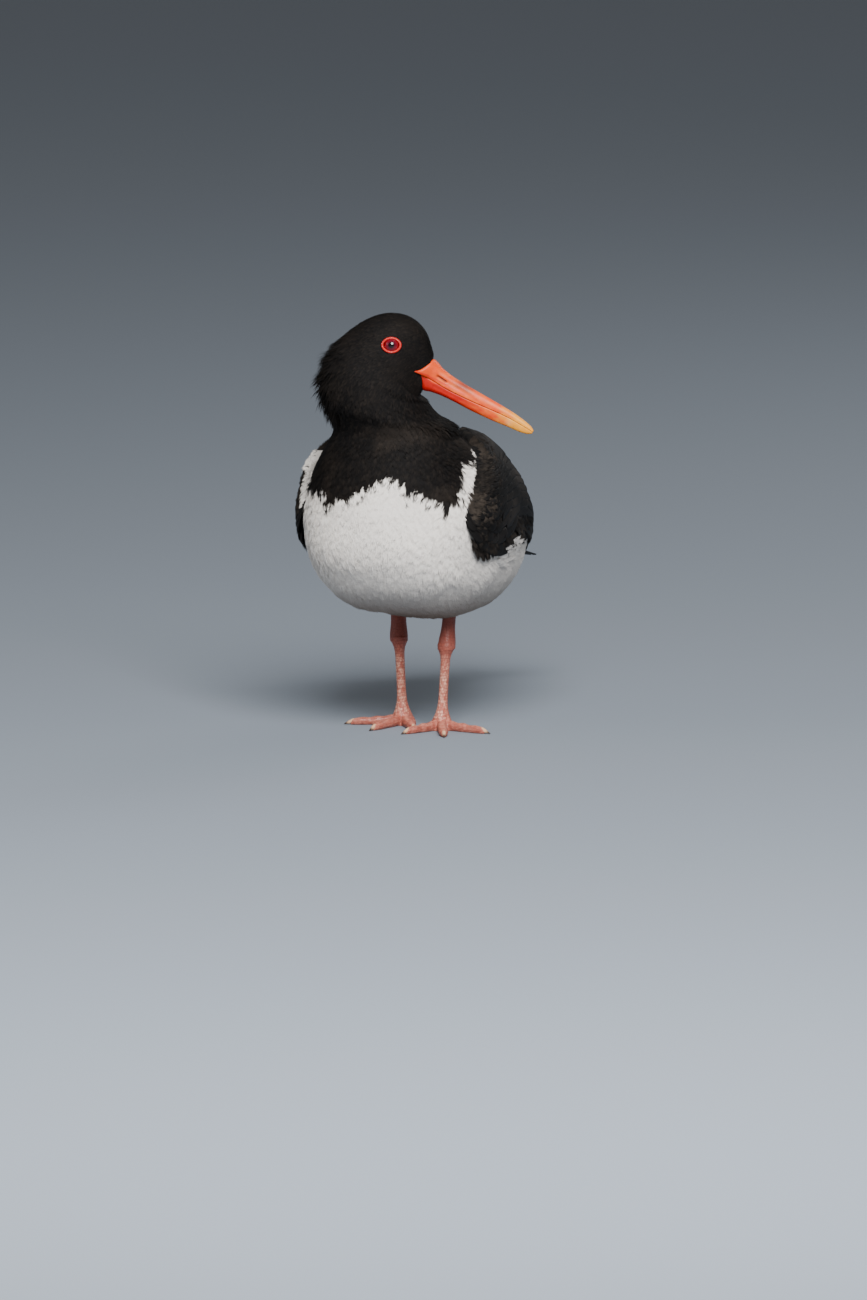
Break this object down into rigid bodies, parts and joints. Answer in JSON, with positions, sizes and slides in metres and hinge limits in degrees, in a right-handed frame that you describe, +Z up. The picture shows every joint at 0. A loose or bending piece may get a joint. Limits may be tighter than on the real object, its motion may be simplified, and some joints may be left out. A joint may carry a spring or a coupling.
{
  "type": "wading bird model",
  "caption": "Life-size black and white wading bird standing on two pink legs, its long orange bill turned over its left shoulder.",
  "frame": {"origin": "on the floor, under the middle of the bird's bounding box", "axes": "+Z up, the bird faces -Y, and its left side is at +X; its head is turned to look along +X"},
  "size_m": [0.1526, 0.272, 0.2624],
  "materials": {
    "plumage_black": "soft satin feathers, black with a faint brown cast",
    "plumage_white": "matt soft feathers, warm white",
    "bill_orange": "horn with a soft sheen, orange-red, yellower at the tip",
    "eye_red": "wet and glossy, dark crimson with a black pupil",
    "eye_ring": "bare skin, satin, red-orange",
    "leg_pink": "fine scales, satin, pink",
    "claw_horn": "horn, satin, pale with a dark point"
  },
  "bodies": {
    "root": {"torso": "plumage_white", "neck": "plumage_black", "head": "plumage_black", "bill_upper": "bill_orange", "bill_lower": "bill_orange", "eye_left": "eye_red", "eye_right": "eye_red", "eye_ring_left": "eye_ring", "eye_ring_right": "eye_ring", "wing_left": "plumage_black", "wing_right": "plumage_black", "tail": "plumage_black", "claw_inner_left": "claw_horn", "claw_inner_right": "claw_horn", "claw_middle_left": "claw_horn", "claw_middle_right": "claw_horn", "claw_outer_left": "claw_horn", "claw_outer_right": "claw_horn", "tarsus_left": "leg_pink", "tarsus_right": "leg_pink", "tibia_left": "leg_pink", "tibia_right": "leg_pink", "toe_inner_left": "leg_pink", "toe_inner_right": "leg_pink", "toe_middle_left": "leg_pink", "toe_middle_right": "leg_pink", "toe_outer_left": "leg_pink", "toe_outer_right": "leg_pink"}
  },
  "joints": []
}
